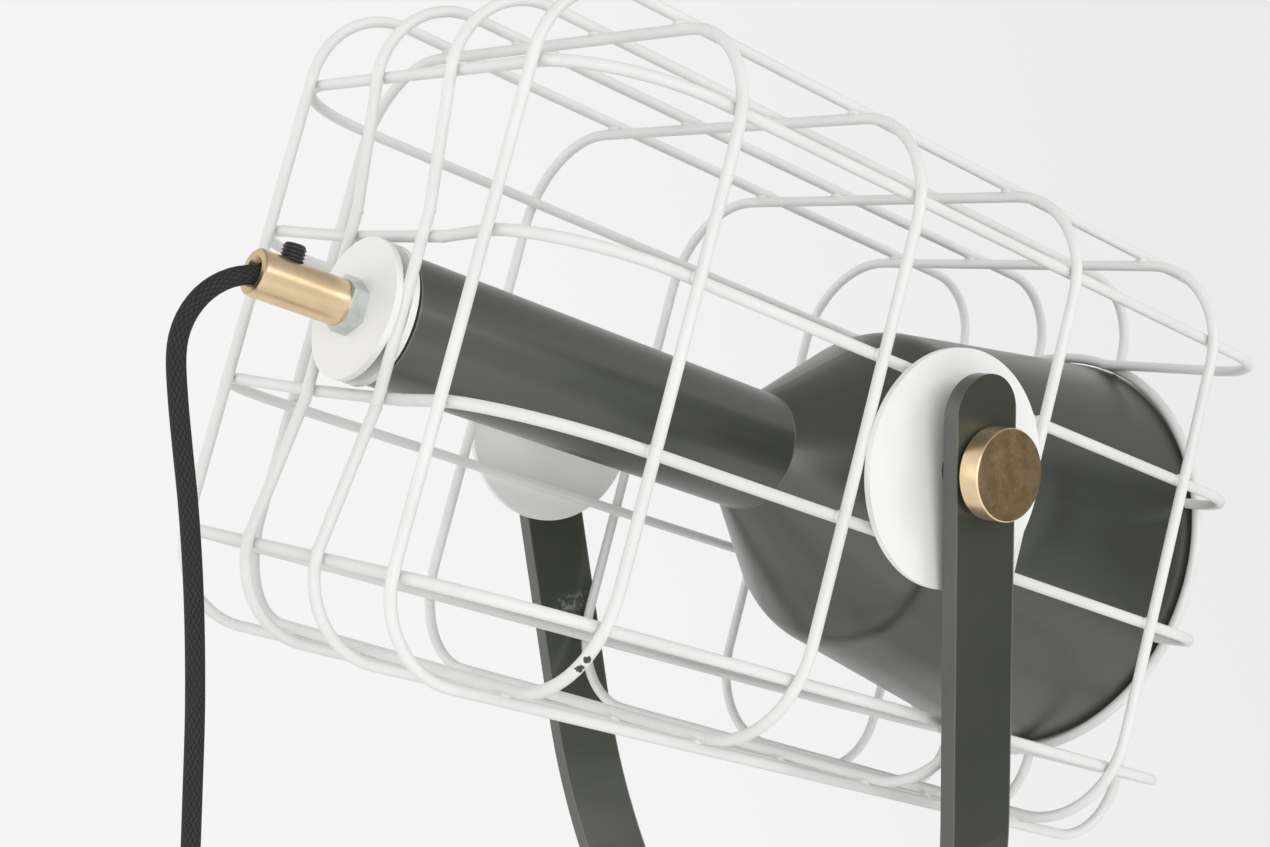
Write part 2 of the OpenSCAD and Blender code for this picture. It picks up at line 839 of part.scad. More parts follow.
module base_bolt() {
    color("silver")
        translate([0, 0, pad_t + 0.2]) {
            cylinder(d = base_bolt_head_d, h = base_bolt_head_t);
            cylinder(d = base_bolt_d, h = base_t + plug_len - 8);
        }
}

module base_pad() {
    color("dimgray")
        cylinder(d = base_d - 4, h = pad_t);
}

// Cord: one closed tube of triangles swept along a list of points

function blend_point(a, b, c, d, t) = 0.5 * (2 * b + (c - a) * t
    + (2 * a - 5 * b + 4 * c - d) * t * t + (3 * b - a - 3 * c + d) * t * t * t);
function smooth_path(pts, steps) = let (last = len(pts) - 1) concat(
    [for (i = [0 : last - 1]) for (k = [0 : steps - 1]) blend_point(
        pts[max(i - 1, 0)], pts[i], pts[i + 1], pts[min(i + 2, last)], k / steps)],
    [pts[last]]);
// Directions along the path; both ends point the way that the tube is held there
function tangents(path, ends) = let (last = len(path) - 1) concat(
    [unit(ends[0])],
    [for (i = [1 : last - 1]) unit(path[i + 1] - path[i - 1])],
    [unit(ends[1])]);
function square_to(v, t) = unit(v - (v * t) * t);
function carried(along, first) = [
    for (i = 0, v = square_to(first, along[0]); i < len(along);
        i = i + 1, v = i < len(along) ? square_to(v, along[i]) : v) v];

module tube(path, ends, d, sides, first) {
    along = tangents(path, ends);
    across = carried(along, first);
    rings = len(path);
    points = [for (i = [0 : rings - 1]) for (k = [0 : sides - 1])
        path[i] + d / 2 * (across[i] * cos(360 * k / sides)
            + cross(along[i], across[i]) * sin(360 * k / sides))];
    walls = [for (i = [0 : rings - 2]) for (k = [0 : sides - 1]) let (
            a = i * sides + k, b = i * sides + (k + 1) % sides)
        each [[a, a + sides, b], [b, a + sides, b + sides]]];
    low_end = [for (k = [1 : sides - 2]) [0, k, k + 1]];
    top = (rings - 1) * sides;
    high_end = [for (k = [1 : sides - 2]) [top, top + k + 1, top + k]];
    polyhedron(points, concat(low_end, walls, high_end));
}

module cord_drop() {
    color("black")
        tube(smooth_path(drop_route, 2), [grip_out, [0, 1, 0]], cord_d, 10, [0, 1, 0]);
}

module cord_tail() {
    color("black")
        tube(smooth_path(tail_route, 2), [[0, 1, 0], [0, 1, 0]], cord_d, 10, [1, 0, 0]);
}

module cord_coil() {
    color("black")
        tube(coil_path, [[0, 1, 0], [0, -1, 0]], cord_d, 6, [0, 0, 1]);
}

module cord_lead() {
    color("black")
        tube(smooth_path(lead_route, 2), [[0, -1, 0], [0, -1, 0]], cord_d, 10, [1, 0, 0]);
}

// Band round all turns of the coil
module cord_tie() {
    inner_r = coil_out_r - coil_pitch * coil_turns / 2 - cord_d / 2 - tie_clear;
    outer_r = coil_out_r + cord_d / 2 + tie_clear;
    low = coil_low_z - cord_d / 2 - tie_clear;
    high = coil_low_z + coil_pitch + cord_d / 2 + tie_clear;
    color("dimgray")
        translate([coil_centre[0], coil_centre[1], 0])
            rotate([0, 0, 90])
                difference() {
                    translate([inner_r - tie_t, -tie_w / 2, low - tie_t])
                        cube([outer_r - inner_r + 2 * tie_t, tie_w, high - low + 2 * tie_t]);
                    translate([inner_r, -tie_w, low])
                        cube([outer_r - inner_r, 2 * tie_w, high - low]);
                }
}

// Foot switch

// Outline with round ends, lying along Y
module long_outline(length, width) {
    square([width, length - width], center = true);
    for (side = [-1, 1])
        translate([0, side * (length - width) / 2])
            circle(d = width);
}

module at_switch() {
    translate([switch_x, switch_y, 0])
        children();
}

module switch_base() {
    color("black") at_switch()
        difference() {
            union() {
                linear_extrude(switch_split)
                    long_outline(switch_len, switch_w);
                for (side = [-1, 1])
                    translate([0, side * switch_len / 2, switch_cord_z])
                        rotate([side * -90, 0, 0]) {
                            cylinder(d1 = spout_d, d2 = spout_tip_d, h = spout_len);
                            translate([0, 0, -2 * switch_wall])
                                cylinder(d = spout_d, h = 2 * switch_wall);
                        }
            }
            translate([0, 0, switch_wall])
                linear_extrude(switch_split)
                    long_outline(switch_len - 2 * switch_wall, switch_w - 2 * switch_wall);
        }
}

module switch_cover() {
    rim = 3;
    color("black") at_switch()
        translate([0, 0, switch_split])
            difference() {
                union() {
                    linear_extrude(switch_h - switch_split - rim)
                        long_outline(switch_len, switch_w);
                    linear_extrude(switch_h - switch_split)
                        long_outline(switch_len - 2 * rim, switch_w - 2 * rim);
                }
                translate([0, 0, -1])
                    linear_extrude(switch_h - switch_split - switch_wall + 1)
                        long_outline(switch_len - 4 * switch_wall, switch_w - 4 * switch_wall);
                cylinder(d = button_d + 2 * face_clear, h = switch_h);
            }
}

module switch_core() {
    color("ivory") at_switch()
        translate([0, 0, switch_wall])
            linear_extrude(button_under - button_travel - 0.5 - switch_wall)
                long_outline(switch_len - 20, switch_w - 14);
}

// The lip under the cover holds the button in
module switch_button() {
    edge = 1.2;
    color("dimgray") at_switch()
        translate([0, 0, button_under])
            rotate_extrude()
                polygon([[0, 0], [button_d / 2 + 2, 0], [button_d / 2 + 2, button_lip],
                    [button_d / 2, button_lip],
                    [button_d / 2, button_lip + switch_wall + face_clear + button_top - edge],
                    [button_d / 2 - edge, button_lip + switch_wall + face_clear + button_top],
                    [0, button_lip + switch_wall + face_clear + button_top]]);
}

module switch_screws() {
    screw_post_d = 3;
    color("silver") at_switch()
        for (side = [-1, 1])
            translate([0, side * (switch_len / 2 - 2 * switch_wall - 2.5), switch_wall])
                cylinder(d = screw_post_d, h = switch_h - 2 * switch_wall);
}

// Plug: a flat two-pin body with round edges

module plug_body() {
    color("black")
        translate(plug_face)
            rotate([90, 0, 0]) {
                translate([0, 0, plug_nose])
                    linear_extrude(plug_len_body)
                        rotate([0, 0, 90])
                            long_outline(plug_w, plug_t);
                cylinder(d1 = spout_tip_d, d2 = plug_t - 3, h = plug_nose);
            }
}

module plug_pins() {
    color("silver")
        translate(plug_face)
            rotate([90, 0, 0])
                for (side = [-1, 1])
                    translate([side * pin_pitch / 2, 0, plug_nose + plug_len_body])
                        cylinder(d = pin_d, h = pin_len);
}

// Assembly

upright_wire(1.5);  // cage_upright_wire_1
upright_wire(0.5);  // cage_upright_wire_2
upright_wire(-0.5);  // cage_upright_wire_3
upright_wire(-1.5);  // cage_upright_wire_4
level_wire(1.5);  // cage_level_wire_1
level_wire(0.5);  // cage_level_wire_2
level_wire(-0.5);  // cage_level_wire_3
level_wire(-1.5);  // cage_level_wire_4
hoop(0);  // cage_hoop_1
hoop(1);  // cage_hoop_2
hoop(2);  // cage_hoop_3
hoop(3);  // cage_hoop_4
cage_front_ring();
pivot_plate(-1);  // pivot_plate_near
pivot_plate(1);  // pivot_plate_far
pivot_nuts();
pivot_spacers();
rear_plate(outer_plate_x);  // rear_plate_outer
rear_plate(inner_plate_x);  // rear_plate_inner
gasket_ring();
neck_tube();
shade();
carrier_tube();
carrier_nut(rear_nut_x);  // rear_nut
carrier_nut(neck_x + neck_cap_t);  // neck_nut
carrier_nut(holder_x + holder_floor);  // holder_nut
cord_grip();
grip_screw();
inner_lead();
lampholder_body();
lampholder_shell();
bulb_cap();
bulb_glass();
knob(-1);  // knob_near
knob_stud(-1);  // knob_near_stud
knob(1);  // knob_far
knob_stud(1);  // knob_far_stud
yoke();
yoke_bolt();
yoke_washer();
post_seat();
post();
post_foot();
post_collar();
base_plate();
base_bolt();
base_pad();
cord_drop();
cord_tail();
cord_coil();
cord_lead();
cord_tie();
switch_base();
switch_cover();
switch_core();
switch_screws();
switch_button();
plug_body();
plug_pins();
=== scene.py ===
"""Looks of the cage floor lamp: cords, welds, finishes, light and camera around the CAD."""

import json
import logging
import math
from dataclasses import dataclass, field
from enum import Enum
from functools import reduce
from typing import Iterable, Optional, Sequence, Union

import bpy
import numpy as np
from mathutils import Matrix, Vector


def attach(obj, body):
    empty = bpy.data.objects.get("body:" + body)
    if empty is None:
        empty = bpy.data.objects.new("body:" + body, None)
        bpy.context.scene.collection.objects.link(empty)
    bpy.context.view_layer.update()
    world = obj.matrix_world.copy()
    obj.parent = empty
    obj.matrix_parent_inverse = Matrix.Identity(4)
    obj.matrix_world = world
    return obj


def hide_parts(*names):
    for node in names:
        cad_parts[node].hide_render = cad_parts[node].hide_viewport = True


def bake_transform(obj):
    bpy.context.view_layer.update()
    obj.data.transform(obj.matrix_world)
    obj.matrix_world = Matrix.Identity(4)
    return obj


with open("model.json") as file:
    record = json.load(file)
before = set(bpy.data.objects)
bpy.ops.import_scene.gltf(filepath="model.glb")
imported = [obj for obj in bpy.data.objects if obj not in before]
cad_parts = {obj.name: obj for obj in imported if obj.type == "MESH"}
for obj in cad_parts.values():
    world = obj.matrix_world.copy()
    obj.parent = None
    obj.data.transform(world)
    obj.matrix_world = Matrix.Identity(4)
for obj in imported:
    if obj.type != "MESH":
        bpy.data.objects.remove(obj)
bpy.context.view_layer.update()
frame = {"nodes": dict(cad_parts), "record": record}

LOG = logging.getLogger("cage_lamp")

MM = 0.001
TILT = math.radians(18.4)
LEAN = math.radians(6.0)
YOKE_REACH = 0.259
PIVOT = Vector((-YOKE_REACH * math.sin(LEAN), 0.0, 1.2))
HEAD_X = Vector((math.cos(TILT), 0.0, -math.sin(TILT)))
HEAD_Y = Vector((0.0, 1.0, 0.0))
HEAD_Z = Vector((math.sin(TILT), 0.0, math.cos(TILT)))
YOKE_X = Vector((math.cos(LEAN), 0.0, math.sin(LEAN)))
PIVOT_FROM_REAR = 174.0

Points = np.ndarray
Operand = Union["Value", float]


def on_head(x: float, y: float, z: float) -> Vector:
    """Place in the row frame of a point of the head.

    Args:
        x: millimetres along the shade's axis, from the rear wires.
        y: millimetres along the tilt axis.
        z: millimetres up from the axis.

    Returns:
        The point in metres, at rest.
    """
    return PIVOT + MM * ((x - PIVOT_FROM_REAR) * HEAD_X + y * HEAD_Y + z * HEAD_Z)


class Value:
    """A shader socket that takes part in Python arithmetic."""

    def __init__(self, graph: "Graph", socket: bpy.types.NodeSocket) -> None:
        """Keeps the socket and the graph that it belongs to."""
        self.graph = graph
        self.socket = socket

    def _math(self, operation: str, first: Operand, second: Operand) -> "Value":
        """Adds one Math node for an operator."""
        return self.graph.node("ShaderNodeMath", {"operation": operation}, {0: first, 1: second})

    def __add__(self, other: Operand) -> "Value":
        """Sum."""
        return self._math("ADD", self, other)

    def __radd__(self, other: Operand) -> "Value":
        """Sum with a number on the left."""
        return self._math("ADD", other, self)

    def __sub__(self, other: Operand) -> "Value":
        """Difference."""
        return self._math("SUBTRACT", self, other)

    def __rsub__(self, other: Operand) -> "Value":
        """Difference with a number on the left."""
        return self._math("SUBTRACT", other, self)

    def __mul__(self, other: Operand) -> "Value":
        """Product."""
        return self._math("MULTIPLY", self, other)

    def __rmul__(self, other: Operand) -> "Value":
        """Product with a number on the left."""
        return self._math("MULTIPLY", other, self)

    def __abs__(self) -> "Value":
        """Size without sign."""
        return self._math("ABSOLUTE", self, 0.0)

    def sine(self) -> "Value":
        """Sine of an angle in radians."""
        return self._math("SINE", self, 0.0)

    def above(self, limit: Operand) -> "Value":
        """One where the value is over the limit."""
        return self._math("GREATER_THAN", self, limit)

    def larger(self, other: Operand) -> "Value":
        """The larger of two values."""
        return self._math("MAXIMUM", self, other)

    def ease(self, low: float, high: float) -> "Value":
        """Smooth step from zero at low to one at high; low may be the larger.

        Args:
            low: value that gives zero.
            high: value that gives one.

        Returns:
            The step.
        """
        settings = {"interpolation_type": "SMOOTHSTEP"}
        first, last = (0.0, 1.0) if low <= high else (1.0, 0.0)
        span = {0: self, 1: min(low, high), 2: max(low, high), 3: first, 4: last}
        return self.graph.node("ShaderNodeMapRange", settings, span)


class Graph:
    """The node tree of one material or world."""

    def __init__(self, tree: bpy.types.NodeTree) -> None:
        """Clears the tree."""
        self.tree = tree
        tree.nodes.clear()

    def node(
        self,
        kind: str,
        settings: Optional[dict] = None,
        inputs: Optional[dict] = None,
        output: Union[int, str] = 0,
    ) -> Value:
        """Adds a node.

        Args:
            kind: the node's type.
            settings: its properties, set first.
            inputs: values or links by socket name or number.
            output: which socket to hand back.

        Returns:
            The chosen output, or the node's first input where it has no output.
        """
        made = self.tree.nodes.new(kind)
        for name, value in (settings or {}).items():
            setattr(made, name, value)
        for key, value in (inputs or {}).items():
            socket = made.inputs[key]
            if isinstance(value, Value):
                self.tree.links.new(value.socket, socket)
            else:
                socket.default_value = value
        return Value(self, made.outputs[output] if made.outputs else made.inputs[0])

    def place(self, output: str = "Object") -> Value:
        """Texture coordinates that stay with the piece."""
        return self.node("ShaderNodeTexCoord", output=output)

    def part(self, vector: Value, axis: int) -> Value:
        """One number of a vector."""
        return self.node("ShaderNodeSeparateXYZ", None, {0: vector}, axis)

    def vector(self, operation: str, *values: object, output: int = 0) -> Value:
        """Vector Math on one or two values.

        Args:
            operation: what the node does.
            values: vectors or links.
            output: zero for its vector, one for its number.

        Returns:
            The chosen output.
        """
        return self.node(
            "ShaderNodeVectorMath", {"operation": operation}, dict(enumerate(values)), output
        )

    def noise(self, where: Value, scale: float, detail: float = 3.0, rough: float = 0.55) -> Value:
        """Smooth noise from zero to one.

        Args:
            where: coordinates in metres.
            scale: how many patches lie in a metre.
            detail: octaves.
            rough: weight of the finer octaves.

        Returns:
            The noise.
        """
        return self.node(
            "ShaderNodeTexNoise",
            None,
            {"Vector": where, "Scale": scale, "Detail": detail, "Roughness": rough},
        )

    def stretch(self, where: Value, scale: tuple) -> Value:
        """Coordinates drawn out along the axes."""
        return self.vector("MULTIPLY", where, scale)

    def mix(self, share: Operand, first: object, second: object) -> Value:
        """Colour between two colours.

        Args:
            share: zero gives the first, one the second.
            first: colour or link.
            second: colour or link.

        Returns:
            The mixed colour.
        """
        return self.node(
            "ShaderNodeMix", {"data_type": "RGBA"}, {0: share, 6: first, 7: second}, 2
        )

    def bump(self, height: Value, strength: float, depth: float) -> Value:
        """Normal of a height field.

        Args:
            height: the field, from zero to one.
            strength: share of its effect.
            depth: its full range in metres.

        Returns:
            The bent normal.
        """
        return self.node(
            "ShaderNodeBump", None, {"Strength": strength, "Distance": depth, "Height": height}
        )

    def finish(self, **inputs: object) -> None:
        """Ends the material in one Principled shader.

        Args:
            inputs: its sockets, with _ for a space.
        """
        named = {key.replace("_", " "): value for key, value in inputs.items()}
        shader = self.node("ShaderNodeBsdfPrincipled", None, named)
        self.node("ShaderNodeOutputMaterial", None, {0: shader})


def rgba(red: float, green: float, blue: float) -> tuple:
    """An opaque linear colour."""
    return (red, green, blue, 1.0)


@dataclass(frozen=True)
class Finish:
    """A surface finish that makes one material."""

    name: str

    def material(self) -> bpy.types.Material:
        """Makes the material.

        Returns:
            The new material.
        """
        made = bpy.data.materials.new(self.name)
        made.use_nodes = True
        self.paint(Graph(made.node_tree))
        return made

    def paint(self, graph: Graph) -> None:
        """Fills the node tree; each finish has its own."""
        raise NotImplementedError


@dataclass(frozen=True)
class PowderCoat(Finish):
    """White powder coat over steel, with a few knocks down to the metal."""

    colour: tuple = rgba(0.76, 0.76, 0.745)
    shade: tuple = rgba(0.71, 0.71, 0.695)
    metal: tuple = rgba(0.05, 0.05, 0.045)
    knocks: tuple = ()
    knock_deep: float = 2.0
    peel_high: float = 0.00006

    def paint(self, graph: Graph) -> None:
        """Orange peel, soft patches and knocks.

        Args:
            graph: the material's nodes.
        """
        where = graph.place()
        patch = graph.noise(where, 22.0, 2.0).ease(0.35, 0.7)
        base = graph.mix(patch, self.colour, self.shade)
        height = graph.noise(where, 1100.0, 1.0)
        if self.knocks:
            bare = self._bare(graph, where)
            base = graph.mix(bare, base, self.metal)
            height = height - bare * self.knock_deep
        graph.finish(
            Base_Color=base,
            Roughness=0.36 + 0.08 * graph.noise(where, 60.0),
            Normal=graph.bump(height, 0.25, self.peel_high),
            Specular_IOR_Level=0.45,
        )

    def _bare(self, graph: Graph, where: Value) -> Value:
        """Ragged marks where a knock took the coat off.

        Args:
            graph: the material's nodes.
            where: coordinates of the piece.

        Returns:
            One on bare metal.
        """
        marks = []
        for centre, radius in self.knocks:
            ragged = (graph.noise(where, 900.0, 2.0) - 0.5) * (1.6 * radius)
            reach = graph.vector("DISTANCE", where, tuple(centre), output=1) + ragged
            marks.append(reach.ease(radius, 0.75 * radius))
        return reduce(Value.larger, marks)


@dataclass(frozen=True)
class SatinPaint(Finish):
    """Dark olive grey satin paint; a spun piece shows faint rings."""

    colour: tuple = rgba(0.028, 0.032, 0.020)
    worn: tuple = rgba(0.035, 0.039, 0.026)
    scuffs: tuple = ()
    scuff_colour: tuple = rgba(0.22, 0.24, 0.24)
    rings: bool = False
    lining: Optional[tuple] = None
    bar_half: float = 0.0
    # Places along the head's axis that get a painted highlight ring.
    ends: tuple = ()
    # Colour of the painted highlights on the bar's edges and at the tube's ends.
    edge_highlight_colour: tuple = rgba(0.20, 0.20, 0.175)
    edge_wide: float = 0.0007
    edge_full: float = 0.0003
    grain_high: float = 0.00005
    ring_wave: float = 2600.0
    ring_share: float = 0.15

    def paint(self, graph: Graph) -> None:
        """Satin grain, soft patches, scuffs, painted highlights on edges and a pale lining.

        Args:
            graph: the material's nodes.
        """
        where = graph.place()
        patch = graph.noise(where, 9.0, 4.0).ease(0.3, 0.75)
        grain = graph.noise(where, 700.0, 2.0)
        base = graph.mix(patch, self.colour, self.worn)
        for centre, radius in self.scuffs:
            broken = graph.noise(where, 420.0, 4.0, 0.7).ease(0.46, 0.62)
            reach = graph.vector("DISTANCE", where, tuple(centre), output=1)
            near = reach.ease(radius, 0.3 * radius)
            base = graph.mix(near * broken, base, self.scuff_colour)
        # Painted highlight: a pale line along the bar's broken edges.
        if self.bar_half:
            base = graph.mix(self._edge_highlight(graph, where), base, self.edge_highlight_colour)
        # Painted highlight: a thin pale ring round the piece at each of these places along the
        # head's axis.
        for end in self.ends:
            off = graph.vector("SUBTRACT", where, tuple(end))
            away = abs(graph.vector("DOT_PRODUCT", off, tuple(HEAD_X), output=1))
            line = away.ease(self.edge_wide, self.edge_full)
            base = graph.mix(line * 0.6, base, self.edge_highlight_colour)
        height = grain
        if self.rings:
            along = graph.vector("DOT_PRODUCT", where, tuple(HEAD_X), output=1)
            height = grain + (along * self.ring_wave).sine() * self.ring_share
        rough = 0.26 + 0.06 * graph.noise(where, 35.0)
        if self.lining:
            base = graph.mix(self._inside(graph, where), base, self.lining)
        graph.finish(
            Base_Color=base,
            Roughness=rough,
            Normal=graph.bump(height, 0.09, self.grain_high),
            IOR=1.56,
            Specular_IOR_Level=1.0,
        )

    def _edge_highlight(self, graph: Graph, where: Value) -> Value:
        """Painted highlight: a fine pale line along the broken edges of the bar's two broad faces.

        Args:
            graph: the material's nodes.
            where: coordinates of the piece.

        Returns:
            One on the line, less where it fades.
        """
        off = graph.vector("SUBTRACT", where, tuple(PIVOT))
        across = abs(graph.vector("DOT_PRODUCT", off, tuple(YOKE_X), output=1))
        flank = abs(graph.vector("DOT_PRODUCT", graph.place("Normal"), tuple(YOKE_X), output=1))
        line = across.ease(self.bar_half - self.edge_wide, self.bar_half - self.edge_full)
        return line * (1.0 - flank.above(0.3)) * 0.7

    @staticmethod
    def _inside(graph: Graph, where: Value) -> Value:
        """One on faces that look at the head's axis.

        Args:
            graph: the material's nodes.
            where: coordinates of the piece.

        Returns:
            The mask.
        """
        off = graph.vector("SUBTRACT", where, tuple(PIVOT))
        along = graph.vector("DOT_PRODUCT", off, tuple(HEAD_X), output=1)
        scale = {0: tuple(HEAD_X), "Scale": along}
        axial = graph.node("ShaderNodeVectorMath", {"operation": "SCALE"}, scale)
        radial = graph.vector("NORMALIZE", graph.vector("SUBTRACT", off, axial))
        facing = graph.vector("DOT_PRODUCT", radial, graph.place("Normal"), output=1)
        return (facing * -1.0).above(0.05)


@dataclass(frozen=True)
class TurnedBrass(Finish):
    """Turned brass with lathe lines across an axis; the end faces are a darker brown and
    scratched.
    """

    axis: tuple = (1.0, 0.0, 0.0)
    bright: tuple = rgba(0.87, 0.68, 0.44)
    warm: tuple = rgba(0.79, 0.59, 0.36)
    # Darker brown base of the end faces.
    end_face_dark: tuple = rgba(0.27, 0.18, 0.085)
    faded: tuple = rgba(0.66, 0.50, 0.30)
    face: float = 0.0
    lathe_wave: float = 9000.0
    scratch_grid: tuple = (1700.0, 240.0, 260.0)

    def paint(self, graph: Graph) -> None:
        """Lathe lines on the round, a darker brown and fine scratches on the faces.

        Args:
            graph: the material's nodes.
        """
        where = graph.place()
        along = graph.vector("DOT_PRODUCT", where, self.axis, output=1)
        lathe = (along * self.lathe_wave + graph.noise(where, 5.0, 0.0) * 6.0).sine()
        patch = graph.noise(where, 70.0, 3.0).ease(0.3, 0.75)
        round_side = graph.mix(patch, self.bright, self.warm)
        facing = graph.vector("DOT_PRODUCT", graph.place("Normal"), self.axis, output=1)
        flat = abs(facing).ease(0.8, 0.95)
        stain = graph.noise(where, 170.0, 8.0, 0.72).ease(0.36, 0.66)
        drawn = graph.stretch(where, self.scratch_grid)
        marks = graph.noise(drawn, 1.0, 4.0, 0.75).ease(0.58, 0.70)
        fleck = graph.noise(where, 900.0, 4.0, 0.75).ease(0.60, 0.70) * stain
        worn = graph.mix(stain * 0.30 + marks * 0.26 + fleck * 0.5, self.end_face_dark, self.faded)
        end = flat * self.face
        graph.finish(
            Base_Color=graph.mix(end, round_side, worn),
            Roughness=0.30 + 0.06 * patch + end * 0.08,
            Metallic=1.0 - end * 0.2,
            Normal=graph.bump(lathe * 0.5 + end * (marks + stain), 0.22, 0.00004),
        )


@dataclass(frozen=True)
class ZincSteel(Finish):
    """Zinc-plated steel, pale and a little blotchy."""

    colour: tuple = rgba(0.66, 0.69, 0.67)
    dull: tuple = rgba(0.54, 0.57, 0.56)

    def paint(self, graph: Graph) -> None:
        """Blotches and a fine drawn grain.

        Args:
            graph: the material's nodes.
        """
        where = graph.place()
        blotch = graph.noise(where, 130.0, 3.0).ease(0.35, 0.7)
        grain = graph.noise(graph.stretch(where, (1500.0, 300.0, 300.0)), 1.0, 2.0)
        graph.finish(
            Base_Color=graph.mix(blotch, self.colour, self.dull),
            Roughness=0.34 + 0.16 * blotch,
            Metallic=0.7,
            Normal=graph.bump(grain, 0.2, 0.00004),
        )


@dataclass(frozen=True)
class MouldedPlastic(Finish):
    """Moulded plastic or rubber with a fine spark-eroded grain."""

    colour: tuple = rgba(0.016, 0.016, 0.017)
    sheen: tuple = rgba(0.03, 0.03, 0.031)
    rough: float = 0.46
    grain: float = 0.3

    def paint(self, graph: Graph) -> None:
        """Fine grain and a little handling wear.

        Args:
            graph: the material's nodes.
        """
        where = graph.place()
        wear = graph.noise(where, 40.0, 3.0).ease(0.4, 0.75)
        pits = graph.noise(where, 2200.0, 1.0)
        graph.finish(
            Base_Color=graph.mix(wear, self.colour, self.sheen),
            Roughness=self.rough - 0.08 * wear,
            Normal=graph.bump(pits, self.grain, 0.00005),
        )


@dataclass(frozen=True)
class OpalGlass(Finish):
    """Opal bulb glass: milky and glossy."""

    colour: tuple = rgba(0.86, 0.855, 0.83)
    cloudy: tuple = rgba(0.80, 0.795, 0.77)

    def paint(self, graph: Graph) -> None:
        """Slow clouds in the milky coat.

        Args:
            graph: the material's nodes.
        """
        where = graph.place()
        cloud = graph.noise(where, 30.0, 2.0)
        graph.finish(
            Base_Color=graph.mix(cloud, self.colour, self.cloudy),
            Roughness=0.14 + 0.06 * cloud,
            Specular_IOR_Level=0.6,
        )


@dataclass(frozen=True)
class Felt(Finish):
    """Pressed felt."""

    colour: tuple = rgba(0.035, 0.035, 0.036)
    fluff: tuple = rgba(0.07, 0.07, 0.072)

    def paint(self, graph: Graph) -> None:
        """Matted fibres.

        Args:
            graph: the material's nodes.
        """
        where = graph.place()
        fibre = graph.noise(where, 800.0, 5.0, 0.75)
        graph.finish(
            Base_Color=graph.mix(fibre, self.colour, self.fluff),
            Roughness=0.92 + 0.06 * fibre,
            Normal=graph.bump(fibre, 0.8, 0.0003),
        )


@dataclass(frozen=True)
class Braid(Finish):
    """Woven textile sleeve: two sets of yarns that cross on the slant."""

    colour: tuple = rgba(0.010, 0.010, 0.0105)
    # Colour of the yarn crowns: a painted highlight; the grooves keep the darker colour as painted
    # shade.
    crown_highlight: tuple = rgba(0.037, 0.036, 0.036)
    yarns: int = 12
    lay: float = 0.010

    def paint(self, graph: Graph) -> None:
        """Crossing yarns from the tube's own coordinates, with painted highlights on the yarn
        crowns and loose fibres.

        Args:
            graph: the material's nodes.
        """
        where = graph.place("UV")
        turn = graph.part(where, 0) * (math.pi * self.yarns)
        climb = graph.part(where, 1) * (math.pi * self.yarns / (2.0 * self.lay) * 0.5)
        right = abs((turn + climb).sine())
        left = abs((turn - climb).sine())
        over = (turn + climb).sine() * (turn - climb).sine()
        pick = over.ease(-0.25, 0.25)
        height = right * pick + left * (1.0 - pick)
        fibre = graph.noise(graph.place(), 1800.0, 3.0, 0.7)
        # Painted light: the yarn crowns lighter and the grooves between them darker, plus random
        # fibre tone.
        crown_highlight_and_fibre = height.ease(0.2, 1.0) * 0.7 + fibre * 0.4
        graph.finish(
            Base_Color=graph.mix(crown_highlight_and_fibre, self.colour, self.crown_highlight),
            Roughness=0.74 + 0.12 * fibre,
            Normal=graph.bump(height + fibre * 0.35, 0.75, 0.00035),
            Specular_IOR_Level=0.3,
        )


class Paints(Enum):
    """The finishes of this lamp, by the record's material slots."""

    CAGE = "cage_wire"
    OLIVE = "olive_paint"
    BRASS = "brass"
    STEEL = "steel"
    NYLON = "black_plastic"
    BUTTON = "grey_plastic"
    HOLDER = "holder_plastic"
    BULB = "bulb_glass"
    RUBBER = "rubber"
    FELT = "felt"
    CORD = "cord_fabric"


def smooth_route(route: Sequence[Sequence[float]], steps: int) -> Points:
    """Runs a smooth curve through route points.

    Args:
        route: points in millimetres.
        steps: points of the curve for each stretch of the route.

    Returns:
        The curve's points, in metres.
    """
    pts = np.array(route, float) * MM
    last = len(pts) - 1
    out = []
    for i in range(last):
        a, b, c, d = pts[max(i - 1, 0)], pts[i], pts[i + 1], pts[min(i + 2, last)]
        for t in np.arange(steps) / steps:
            out.append(
                0.5
                * (
                    2 * b
                    + (c - a) * t
                    + (2 * a - 5 * b + 4 * c - d) * t**2
                    + (3 * b - a - 3 * c + d) * t**3
                )
            )
    out.append(pts[last])
    return np.array(out)


def even(path: Points, step: float) -> Points:
    """Points at even distances along a path.

    Args:
        path: the path's points.
        step: about how far apart the new points lie, in metres.

    Returns:
        The new points; both ends stay.
    """
    run = run_of(path)
    count = max(2, int(round(run[-1] / step)) + 1)
    at = np.linspace(0.0, run[-1], count)
    return np.stack([np.interp(at, run, path[:, k]) for k in range(3)], axis=1)


def run_of(path: Points) -> Points:
    """Length of a path up to each of its points."""
    return np.concatenate([[0.0], np.cumsum(np.linalg.norm(np.diff(path, axis=0), axis=1))])


def carried_frames(path: Points) -> tuple[Points, Points]:
    """Two directions across a path at each point, turned along it without twist.

    Args:
        path: the path's points.

    Returns:
        The two directions.
    """
    along = np.gradient(path, axis=0)
    along /= np.linalg.norm(along, axis=1)[:, None]
    first = np.array([1.0, 0.0, 0.0]) if abs(along[0][0]) < 0.8 else np.array([0.0, 1.0, 0.0])
    across = []
    for direction in along:
        first = first - direction * (first @ direction)
        first = first / np.linalg.norm(first)
        across.append(first)
    side = np.array(across)
    return side, np.cross(along, side)


